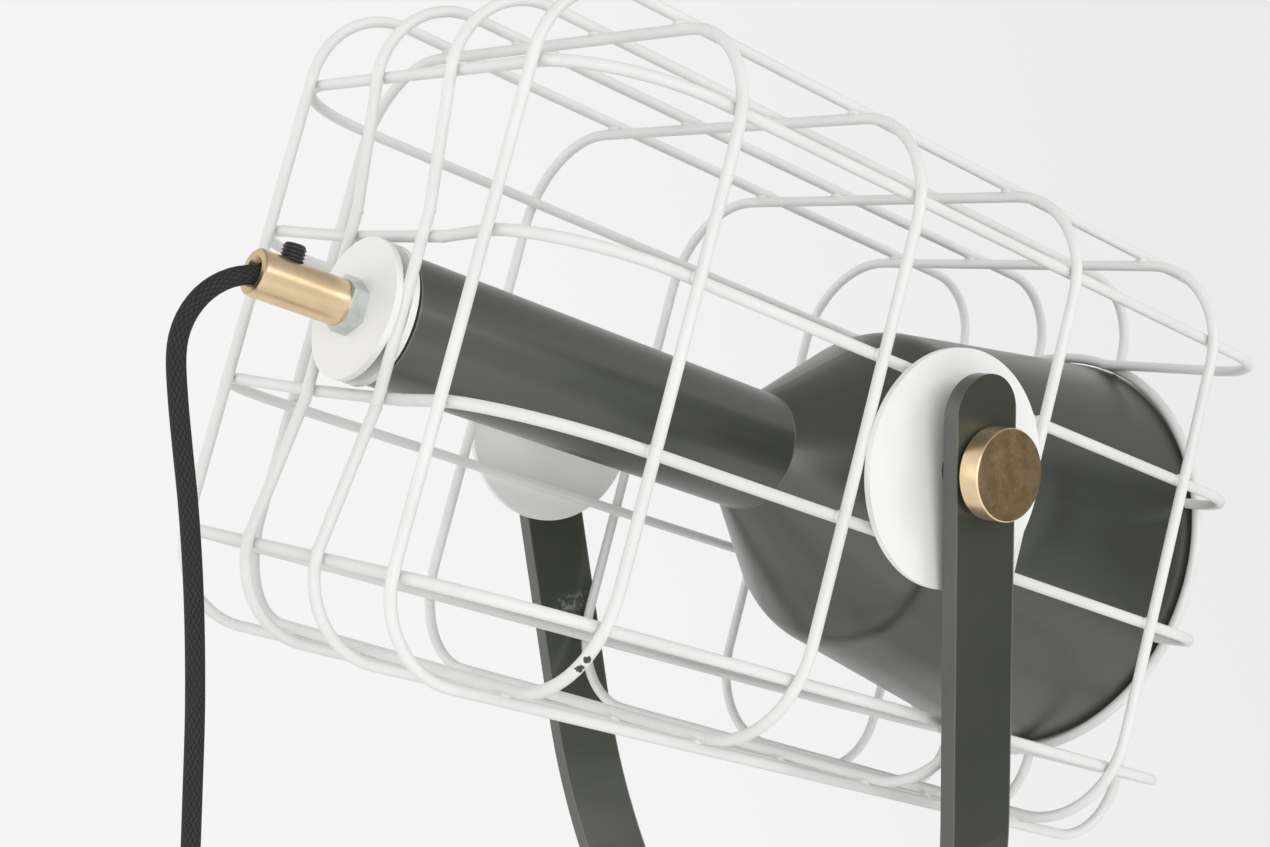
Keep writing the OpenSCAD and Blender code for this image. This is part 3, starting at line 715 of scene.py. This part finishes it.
def new_piece(name: str, verts: Iterable, faces: Iterable) -> bpy.types.Object:
    """Links a new mesh object with smooth faces.

    Args:
        name: the piece's name.
        verts: points in metres.
        faces: lists of point numbers.

    Returns:
        The object.
    """
    mesh = bpy.data.meshes.new(name)
    mesh.from_pydata([tuple(v) for v in verts], [], [tuple(f) for f in faces])
    mesh.polygons.foreach_set("use_smooth", [True] * len(mesh.polygons))
    mesh.update()
    piece = bpy.data.objects.new(name, mesh)
    bpy.context.scene.collection.objects.link(piece)
    return piece


def swept(name: str, path: Points, radii: Points, sides: int) -> bpy.types.Object:
    """Sweeps a round section along a path, with closed ends and lengthwise coordinates.

    Args:
        name: the piece's name.
        path: the path's points.
        radii: the radius at each point.
        sides: points round the section.

    Returns:
        The tube.
    """
    one, two = carried_frames(path)
    angles = 2 * math.pi * np.arange(sides) / sides
    ring = (
        np.cos(angles)[None, :, None] * one[:, None, :]
        + np.sin(angles)[None, :, None] * two[:, None, :]
    )
    verts = (path[:, None, :] + radii[:, None, None] * ring).reshape(-1, 3)
    last = (len(path) - 1) * sides
    faces = []
    for low in range(0, last, sides):
        for k in range(sides):
            after = (k + 1) % sides
            faces.append((low + k, low + after, low + sides + after, low + sides + k))
    faces.append(tuple(reversed(range(sides))))
    faces.append(tuple(range(last, last + sides)))
    piece = new_piece(name, verts, faces)
    run = run_of(path)
    layer = piece.data.uv_layers.new(name="UVMap")
    for polygon in piece.data.polygons:
        rounds = [v % sides for v in polygon.vertices]
        wraps = len(polygon.vertices) == 4 and max(rounds) - min(rounds) > 1
        for loop, vert, k in zip(polygon.loop_indices, polygon.vertices, rounds):
            turn = sides if wraps and k == 0 else k
            layer.data[loop].uv = (turn / sides, run[vert // sides])
    return piece


@dataclass
class Flex:
    """The textile cord, from the grip to the foot switch and on to the plug."""

    hang: tuple = (
        (-253.5, 0, 1227), (-252.3, 0, 1212), (-250.7, 0, 1194), (-249.6, 0, 1174),
        (-249.2, 0, 1152), (-249.6, 0, 1127), (-251, 0, 1100), (-252.6, 0, 1070),
        (-254, 0, 1030), (-255.5, 0, 980), (-257, 0, 900), (-258, 0, 810),
        (-259, 0, 710), (-260, 0, 600), (-260, -2, 490), (-261, -6, 380),
        (-261, -12, 280), (-262, -17, 190), (-262, -20, 120), (-262, -21.5, 75),
        (-262, -20.5, 45), (-262, -15.5, 24), (-262, -5, 10.5),
    )
    diameter: float = 6.4
    switch_x: float = -262.0
    switch_y: float = 66.0
    switch_half: float = 26.0
    sleeve_len: float = 20.0
    switch_z: float = 5.0
    lead_x: float = -29.0
    exit_r: float = 26.0
    coil_out: float = 50.0
    coil_gap: float = 0.8
    coil_turns: float = 6.5
    coil_low: float = 5.0
    coil_y: float = 136.0
    plug_run: float = 34.0
    plug_z: float = 7.0
    plug_nose_r: float = 5.5
    climb_half: float = 0.25
    per_turn: int = 72
    smooth: int = 12
    step: float = 0.003
    rib_high: float = 0.35
    rib_count: int = 6
    rib_step: float = 0.0004
    sleeve_sides: int = 32
    sides: int = 20

    def drop_path(self) -> Points:
        """The hanging stretch.

        Returns:
            Its centre line, from the grip to the switch.
        """
        start = np.array(on_head(self.lead_x, 0, 0)) / MM
        end = np.array([self.switch_x, self.switch_y - self.sleeve_end(), self.switch_z])
        dip = TILT - np.radians(np.arange(0.0, 109.0, 18.0))
        bend = np.stack(
            [np.sin(dip) - math.sin(TILT), 0.0 * dip, np.cos(dip) - math.cos(TILT)], axis=1
        )
        route = [*(start + self.exit_r * bend), *self.hang]
        route += [end - (0, 10, 0), end - (0, 5, 0), end]
        return even(smooth_route(route, self.smooth), self.step)

    def sleeve_end(self) -> float:
        """How far a switch sleeve's tip lies from the switch's middle, in millimetres."""
        return self.switch_half + self.sleeve_len

    def coil_point(self, turn: float) -> tuple:
        """A point of the coil.

        Args:
            turn: turns from the coil's start.

        Returns:
            The point, in millimetres.
        """
        pitch = self.diameter + self.coil_gap
        mid = self.coil_turns / 2
        radius = self.coil_out - pitch * min(turn, self.coil_turns - turn)
        if turn < mid - self.climb_half:
            lift = 0.0
        elif turn > mid + self.climb_half:
            lift = 1.0
        else:
            lift = (1 - math.cos(2 * math.pi * (turn - mid + self.climb_half))) / 2
        angle = math.pi - 2 * math.pi * turn
        return (
            self.switch_x + self.coil_out + radius * math.cos(angle),
            self.coil_y + radius * math.sin(angle),
            self.coil_low + pitch * lift,
        )

    def plug_face(self) -> Points:
        """Where the cord goes into the plug, in millimetres."""
        out = np.array(self.coil_point(self.coil_turns)) - (0, self.diameter, 0)
        return np.array([out[0], out[1] - self.plug_run, self.plug_z])

    def floor_path(self) -> Points:
        """The stretch on the floor.

        Returns:
            Its centre line: tail, coil and lead in one.
        """
        start = np.array([self.switch_x, self.switch_y + self.sleeve_end(), self.switch_z])
        into = np.array(self.coil_point(0)) - (0, self.diameter, 0)
        out = np.array(self.coil_point(self.coil_turns)) - (0, self.diameter, 0)
        face = self.plug_face()
        tail = [start, (2 * start + into) / 3, (start + 2 * into) / 3, into]
        lead = [out, out - (0, 8, 0), (out + face) / 2 - (0, 3, 0), face + (0, 6, 0), face]
        steps = int(self.coil_turns * self.per_turn)
        coil = MM * np.array([self.coil_point(i / self.per_turn) for i in range(steps + 1)])
        before, after = smooth_route(tail, self.smooth), smooth_route(lead, self.smooth)
        return even(np.concatenate([before[:-1], coil, after[1:]]), self.step)

    def build(self, weave: bpy.types.Material, rubber: bpy.types.Material) -> None:
        """Args:
            weave: material of the textile sleeve.
            rubber: material of the bend sleeves.
        """
        radius = self.diameter / 2 * MM
        drop, floor = self.drop_path(), self.floor_path()
        hanging = swept("cord_hanging", drop, np.full(len(drop), radius), self.sides)
        lying = swept("cord_on_floor", floor, np.full(len(floor), radius), self.sides)
        reach = MM * np.array((0.0, self.sleeve_len, 0.0))
        face = MM * self.plug_face()
        sleeves = [
            self.sleeve("sleeve_switch_in", drop[-1] + reach, drop[-1], self.switch_z, rubber),
            self.sleeve("sleeve_switch_out", floor[0] - reach, floor[0], self.switch_z, rubber),
            self.sleeve("sleeve_plug", face - reach, face, self.plug_nose_r, rubber),
        ]
        for cord in (hanging, lying):
            cord.data.materials.append(weave)
        for sleeve in sleeves:
            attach(sleeve, "stand")
        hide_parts("cord_drop")
        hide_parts("cord_tail", "cord_coil", "cord_lead")
        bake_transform(hanging)
        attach(lying, "stand")
        for cord, path in ((hanging, drop), (lying, floor)):
            LOG.info("%s: %.3f m", cord.name, run_of(path)[-1])
        for sleeve in sleeves:
            LOG.info("%s: ribbed", sleeve.name)

    def sleeve(
        self, name: str, root: Points, tip: Points, root_r: float, rubber: bpy.types.Material
    ) -> bpy.types.Object:
        """Ribs over a tapered bend sleeve.

        Args:
            name: the piece's name.
            root: where the sleeve leaves its housing, in metres.
            tip: where the cord leaves the sleeve.
            root_r: its radius at the housing, in millimetres.
            rubber: its material.

        Returns:
            The ribbed sleeve.
        """
        line = even(np.array([root, tip]), self.rib_step)
        share = np.linspace(0.0, 1.0, len(line))
        taper = root_r + (self.diameter / 2 + 1.0 - root_r) * share
        raised = (np.sin(share * 2 * self.rib_count * math.pi) > 0.2) * (share < 0.95)
        ribs = np.minimum(self.rib_high, root_r - taper) * raised
        piece = swept(name, line, MM * (taper + 0.02 * share + ribs), self.sleeve_sides)
        piece.data.materials.append(rubber)
        return piece


@dataclass
class CageWelds:
    """Small fillets where the cage's wires are welded over each other."""

    half_w: float = 112.0
    half_h: float = 109.0
    wire: float = 4.0
    hoops: tuple = (51.0, 133.0, 215.0, 297.0)
    uprights: tuple = (-68.7, -22.9, 22.9, 68.7)
    levels: tuple = (-82.2, -27.4, 27.4, 82.2)
    rise: float = 1.8
    spread: float = 2.5
    depth: float = 1.15
    corner: float = 38.0
    rows: int = 7
    sides: int = 14

    def spots(self) -> list[tuple]:
        """Places of the welds.

        Returns:
            For each weld its point in the head's millimetres and the direction across both wires.
        """
        high, wide = self.half_h + self.wire / 2, self.half_w - self.wire / 2
        straight = [z for z in self.levels if abs(z) <= self.half_h - self.corner]
        found = []
        for x in self.hoops:
            for y in self.uprights:
                found += [((x, y, self.rise + side * high), (0, 0, 1)) for side in (-1, 1)]
            for z in straight:
                found += [((x, side * wide, z), (0, 1, 0)) for side in (-1, 1)]
        return found

    def build(self, paint: bpy.types.Material) -> bpy.types.Object:
        """Makes all fillets as one mesh.

        Args:
            paint: the cage's material.

        Returns:
            The piece.
        """
        verts, faces = [], []
        rows, sides = self.rows, self.sides
        for centre, across in self.spots():
            normal = np.array(across, float)
            one = np.array((1.0, 0.0, 0.0))
            two = np.cross(normal, one)
            base = len(verts)
            for i in range(1, rows):
                polar = math.pi * i / rows
                for k in range(sides):
                    angle = 2 * math.pi * k / sides
                    flat = math.sin(polar) * (math.cos(angle) * one + math.sin(angle) * two)
                    up = self.depth * math.cos(polar) * normal
                    verts.append(on_head(*(np.array(centre) + self.spread * flat + up).tolist()))
            for i in range(rows - 2):
                for k in range(sides):
                    a, b = base + i * sides + k, base + i * sides + (k + 1) % sides
                    faces.append((a, b, b + sides, a + sides))
            faces.append(tuple(base + k for k in reversed(range(sides))))
            faces.append(tuple(base + (rows - 2) * sides + k for k in range(sides)))
        piece = new_piece("cage_welds", verts, faces)
        piece.data.materials.append(paint)
        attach(piece, "head")
        LOG.info("%s: %d welds", piece.name, len(self.spots()))
        return piece


@dataclass
class Finishes:
    """Gives every CAD node its procedural material."""

    made: dict = field(default_factory=dict)

    def get(self, finish: Finish) -> bpy.types.Material:
        """The material of a finish, made once.

        Args:
            finish: the finish.

        Returns:
            Its material.
        """
        if finish.name not in self.made:
            self.made[finish.name] = finish.material()
        return self.made[finish.name]

    def by_slot(self) -> dict:
        """The finish of each slot.

        Returns:
            Finishes by the slot's name.
        """
        return {
            Paints.CAGE: PowderCoat("white_powder_coat"),
            Paints.OLIVE: SatinPaint("olive_satin"),
            Paints.BRASS: TurnedBrass("turned_brass", axis=tuple(HEAD_X), face=0.45),
            Paints.STEEL: ZincSteel("zinc_steel"),
            Paints.NYLON: MouldedPlastic("black_nylon"),
            Paints.BUTTON: MouldedPlastic(
                "grey_button", rgba(0.10, 0.10, 0.10), rgba(0.13, 0.13, 0.13)
            ),
            Paints.HOLDER: MouldedPlastic(
                "ivory_holder", rgba(0.68, 0.65, 0.58), rgba(0.72, 0.69, 0.62), 0.4
            ),
            Paints.BULB: OpalGlass("opal_bulb"),
            Paints.RUBBER: MouldedPlastic(
                "black_rubber", rgba(0.010, 0.010, 0.010), rgba(0.016, 0.016, 0.016), 0.62
            ),
            Paints.FELT: Felt("pressed_felt"),
            Paints.CORD: Braid("black_braid"),
        }

    def own(self) -> dict:
        """Nodes whose finish differs from the rest of their slot.

        Returns:
            Finishes by node.
        """
        knob = {"axis": (0.0, 1.0, 0.0), "face": 1.0}
        far_inside, rub = 0.116, 0.0055
        rubs = ((-0.0215, 1.1225), (-0.0165, 1.1235), (-0.0115, 1.1238))
        rubbed = tuple((Vector((x, far_inside, z)), rub) for x, z in rubs)
        # The plates carry the wires' same white coat set lighter: painted light.
        plate = PowderCoat("white_powder_plate_painted_lighter", rgba(0.84, 0.84, 0.825), rgba(0.80, 0.80, 0.785))
        plates = ("pivot_plate_near", "pivot_plate_far", "rear_plate_outer", "rear_plate_inner")
        return {
            **{name: plate for name in plates},
            "cage_hoop_1": PowderCoat(
                "white_powder_coat_knocked",
                knocks=(
                    (on_head(50.1, -106.2, -92.4), 0.0015),
                    (on_head(50.1, -103.8, -95.6), 0.0016),
                ),
            ),
            "shade": SatinPaint("olive_satin_spun", rings=True, lining=rgba(0.78, 0.77, 0.74)),
            "neck_tube": SatinPaint(
                "olive_satin_tube_painted_lighter",
                # The tube's olive is the shade's same paint set lighter: painted light.
                rgba(0.036, 0.040, 0.028),
                rgba(0.043, 0.047, 0.034),
                # The pale rings at both ends of the tube are painted highlights.
                ends=(on_head(13, 0, 0), on_head(185, 0, 0)),
            ),
            "yoke": SatinPaint(
                "olive_satin_bar_painted_lighter",
                # The bar's olive is the shade's same paint set lighter: painted light.
                rgba(0.042, 0.047, 0.034),
                rgba(0.048, 0.053, 0.039),
                scuffs=rubbed,
                # This half width places the painted highlight along the bar's edges.
                bar_half=0.014,
            ),
            "grip_screw": MouldedPlastic(
                "grey_nylon", rgba(0.028, 0.028, 0.029), rgba(0.045, 0.045, 0.046), 0.42
            ),
            "knob_near": TurnedBrass("knob_brass_near", **knob),
            "knob_far": TurnedBrass("knob_brass_far", **knob),
        }

    def dress(self) -> None:
        """Puts the materials on all CAD nodes."""
        slots = {s["node"]: s["material_slot"] for s in frame["record"]["subparts"]}
        table, own = self.by_slot(), self.own()
        for name, node in frame["nodes"].items():
            finish = own.get(name) or table[Paints(slots[name])]
            node.data.materials.clear()
            node.data.materials.append(self.get(finish))
            LOG.info("%s: %s", name, finish.name)


@dataclass(frozen=True)
class Lamp:
    """One soft square light."""

    name: str
    at: tuple
    aim: tuple
    size: float
    watts: float

    def hang(self) -> None:
        """Adds the light to the studio."""
        data = bpy.data.lights.new(self.name, "AREA")
        data.energy = self.watts
        data.size = self.size
        light = bpy.data.objects.new(self.name, data)
        light.location = self.at
        way = Vector(self.aim) - Vector(self.at)
        light.rotation_euler = way.to_track_quat("-Z", "Y").to_euler()
        bpy.context.scene.collection.objects.link(light)


@dataclass
class Studio:
    """Camera, pale floor and soft light."""

    lamps: tuple = (
        Lamp("front_left", (-1.1, -2.4, 1.7), (0.0, 0.0, 1.2), 1.6, 17.0),
        Lamp("strip_right", (1.0, -2.2, 1.95), (-0.1, 0.0, 1.2), 0.6, 6.0),
        Lamp("back_left", (-2.2, 1.1, 1.5), (-0.05, 0.0, 1.2), 1.0, 8.0),
        Lamp("bounce", (-0.5, -0.9, 0.1), (0.0, 0.0, 1.2), 2.4, 6.0),
    )
    eye: tuple = (-0.5257, -0.6172, 0.0760)
    look: tuple = (0.6114, 0.7868, -0.0841)
    lens: float = 61.2
    floor_r: float = 3.0
    floor_z: float = -0.0005
    floor_sides: int = 96
    pale: float = 0.88
    ambient: float = 0.84
    fall_way: tuple = (0.7868, -0.6114, 0.35)
    flag_at: tuple = (0.714, -0.610, -0.12)
    flag_size: tuple = (0.65, 1.04)

    def camera(self) -> None:
        """Stands the camera where the photograph was taken."""
        data = bpy.data.cameras.new("camera")
        data.sensor_width = 36.0
        data.sensor_fit = "HORIZONTAL"
        data.lens = self.lens
        data.clip_end = 60.0
        camera = bpy.data.objects.new("camera", data)
        camera.location = PIVOT + Vector(self.eye)
        camera.rotation_euler = Vector(self.look).to_track_quat("-Z", "Y").to_euler()
        bpy.context.scene.collection.objects.link(camera)
        bpy.context.scene.camera = camera

    def floor(self) -> None:
        """Lays a round pale floor that keeps the shadow."""
        turns = 2 * math.pi * np.arange(self.floor_sides) / self.floor_sides
        ring = [
            (self.floor_r * math.cos(turn), self.floor_r * math.sin(turn), self.floor_z)
            for turn in turns
        ]
        piece = new_piece("studio_floor", ring, [tuple(range(self.floor_sides))])
        made = bpy.data.materials.new("studio_floor")
        made.use_nodes = True
        graph = Graph(made.node_tree)
        white = rgba(self.pale, self.pale, self.pale)
        matt = graph.node("ShaderNodeBsdfDiffuse", None, {"Color": rgba(0.80, 0.80, 0.80)})
        glow = graph.node("ShaderNodeEmission", None, {"Color": white, "Strength": 1.0})
        path = graph.node("ShaderNodeLightPath")
        seen = self._seen(graph, path)
        mixed = graph.node("ShaderNodeMixShader", None, {0: seen * 0.6, 1: matt, 2: glow})
        graph.node("ShaderNodeOutputMaterial", None, {0: mixed})
        piece.data.materials.append(made)

    def flag(self) -> None:
        """Stands a black card that only reflections see; it gives the paint its dark side."""
        centre = PIVOT + Vector(self.flag_at)
        facing = Vector(self.flag_at).normalized()
        across = Vector((0.0, 0.0, 1.0)).cross(facing).normalized()
        wide, high = self.flag_size[0] / 2, self.flag_size[1] / 2
        signs = ((-1, -1), (1, -1), (1, 1), (-1, 1))
        corners = [centre + across * (wide * x) + Vector((0.0, 0.0, high * z)) for x, z in signs]
        piece = new_piece("studio_flag", corners, [(0, 1, 2, 3)])
        made = bpy.data.materials.new("studio_flag")
        made.use_nodes = True
        graph = Graph(made.node_tree)
        path = graph.node("ShaderNodeLightPath", output="Is Glossy Ray")
        clear = graph.node("ShaderNodeBsdfTransparent")
        black = graph.node("ShaderNodeBsdfDiffuse", None, {"Color": rgba(0.02, 0.02, 0.02)})
        mixed = graph.node("ShaderNodeMixShader", None, {0: path, 1: clear, 2: black})
        graph.node("ShaderNodeOutputMaterial", None, {0: mixed})
        piece.data.materials.append(made)

    @staticmethod
    def _seen(graph: Graph, path: Value) -> Value:
        """One for rays that show the backdrop itself.

        Args:
            graph: the nodes of a material or of the world.
            path: any output of a Light Path node.

        Returns:
            The mask.
        """
        outputs = path.socket.node.outputs
        camera = Value(graph, outputs["Is Camera Ray"])
        glossy = Value(graph, outputs["Is Glossy Ray"])
        through = Value(graph, outputs["Is Transmission Ray"])
        return camera.larger(glossy).larger(through)

    def world(self) -> None:
        """A pale backdrop that falls off to the right, and even light."""
        world = bpy.data.worlds.new("studio")
        bpy.context.scene.world = world
        world.use_nodes = True
        graph = Graph(world.node_tree)
        way = graph.vector("NORMALIZE", graph.place("Generated"))
        right = graph.vector("DOT_PRODUCT", way, self.fall_way, output=1)
        fall = right.ease(-0.20, 0.38)
        wall = graph.mix(fall, rgba(0.912, 0.912, 0.910), rgba(0.825, 0.825, 0.83))
        ceiling = graph.part(way, 2).ease(0.30, 0.76)
        backdrop = graph.mix(ceiling, wall, rgba(0.34, 0.34, 0.34))
        seen = self._seen(graph, graph.node("ShaderNodeLightPath"))
        light = graph.node(
            "ShaderNodeBackground", None, {"Color": rgba(1.0, 1.0, 1.0), "Strength": self.ambient}
        )
        show = graph.node("ShaderNodeBackground", None, {"Color": backdrop, "Strength": 1.0})
        mixed = graph.node("ShaderNodeMixShader", None, {0: seen, 1: light, 2: show})
        graph.node("ShaderNodeOutputWorld", None, {0: mixed})

    def build(self) -> None:
        """Sets up the whole studio."""
        self.camera()
        self.floor()
        self.world()
        self.flag()
        for lamp in self.lamps:
            lamp.hang()
        bpy.context.scene.view_settings.view_transform = "Standard"
        LOG.info("studio: camera, floor, flag and %d lamps", len(self.lamps))


def main() -> None:
    """Builds the lamp's looks in order."""
    logging.basicConfig(level=logging.INFO, format="%(message)s")
    Studio().build()
    finishes = Finishes()
    slots = finishes.by_slot()
    Flex().build(finishes.get(slots[Paints.CORD]), finishes.get(slots[Paints.NYLON]))
    finishes.dress()
    CageWelds().build(finishes.get(slots[Paints.CAGE]))


if __name__ == "__main__":
    main()
